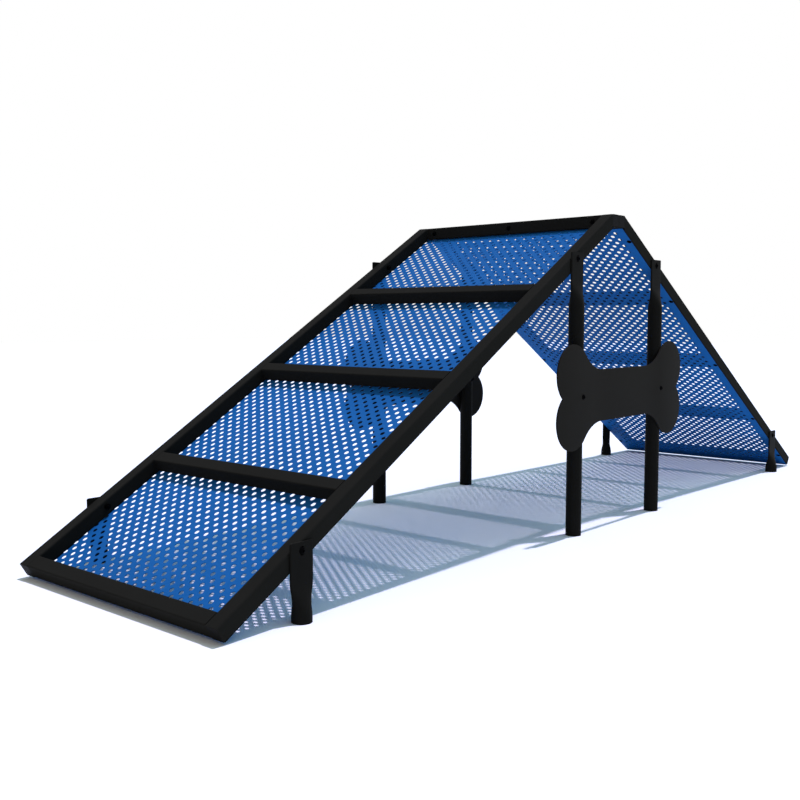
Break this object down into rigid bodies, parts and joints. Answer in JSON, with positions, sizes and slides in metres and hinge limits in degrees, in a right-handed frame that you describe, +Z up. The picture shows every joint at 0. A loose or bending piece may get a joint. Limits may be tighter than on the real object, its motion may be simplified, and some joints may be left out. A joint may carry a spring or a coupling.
{
  "type": "agility a-frame",
  "caption": "Dog agility A-frame: two perforated ramps with cross slats rise to a flat ridge, standing on posts with flattened tops and carrying a bone-shaped plate on each side.",
  "frame": {"origin": "on the ground, under the middle of the ridge", "axes": "+X along the ramps from the front one to the rear one, +Y to the left side, +Z up"},
  "size_m": [4.134, 1.108, 1.262],
  "materials": {
    "frame": "black powder coat",
    "post": "black powder coat",
    "panel": "blue powder coat",
    "bone_plate": "black powder coat",
    "plug": "black",
    "fastener": "black oxide"
  },
  "bodies": {
    "root": {"front_left_rail": "frame", "front_right_rail": "frame", "front_bottom_rail": "frame", "front_low_slat": "frame", "front_mid_slat": "frame", "front_high_slat": "frame", "front_ridge_beam": "frame", "front_panel_1": "panel", "front_panel_2": "panel", "front_panel_3": "panel", "front_panel_4": "panel", "rear_left_rail": "frame", "rear_right_rail": "frame", "rear_bottom_rail": "frame", "rear_low_slat": "frame", "rear_mid_slat": "frame", "rear_high_slat": "frame", "rear_ridge_beam": "frame", "rear_panel_1": "panel", "rear_panel_2": "panel", "rear_panel_3": "panel", "rear_panel_4": "panel", "front_left_short_post": "post", "front_right_short_post": "post", "front_left_tall_post": "post", "front_right_tall_post": "post", "rear_left_short_post": "post", "rear_right_short_post": "post", "rear_left_tall_post": "post", "rear_right_tall_post": "post", "left_bone_plate": "bone_plate", "right_bone_plate": "bone_plate", "rail_end_plugs": "plug", "ridge_beam_plugs": "plug", "post_bolts": "fastener", "post_nuts": "fastener", "ridge_bolts": "fastener", "ridge_nuts": "fastener", "panel_screws": "fastener", "bone_bolts": "fastener", "bone_nuts": "fastener"}
  },
  "joints": []
}
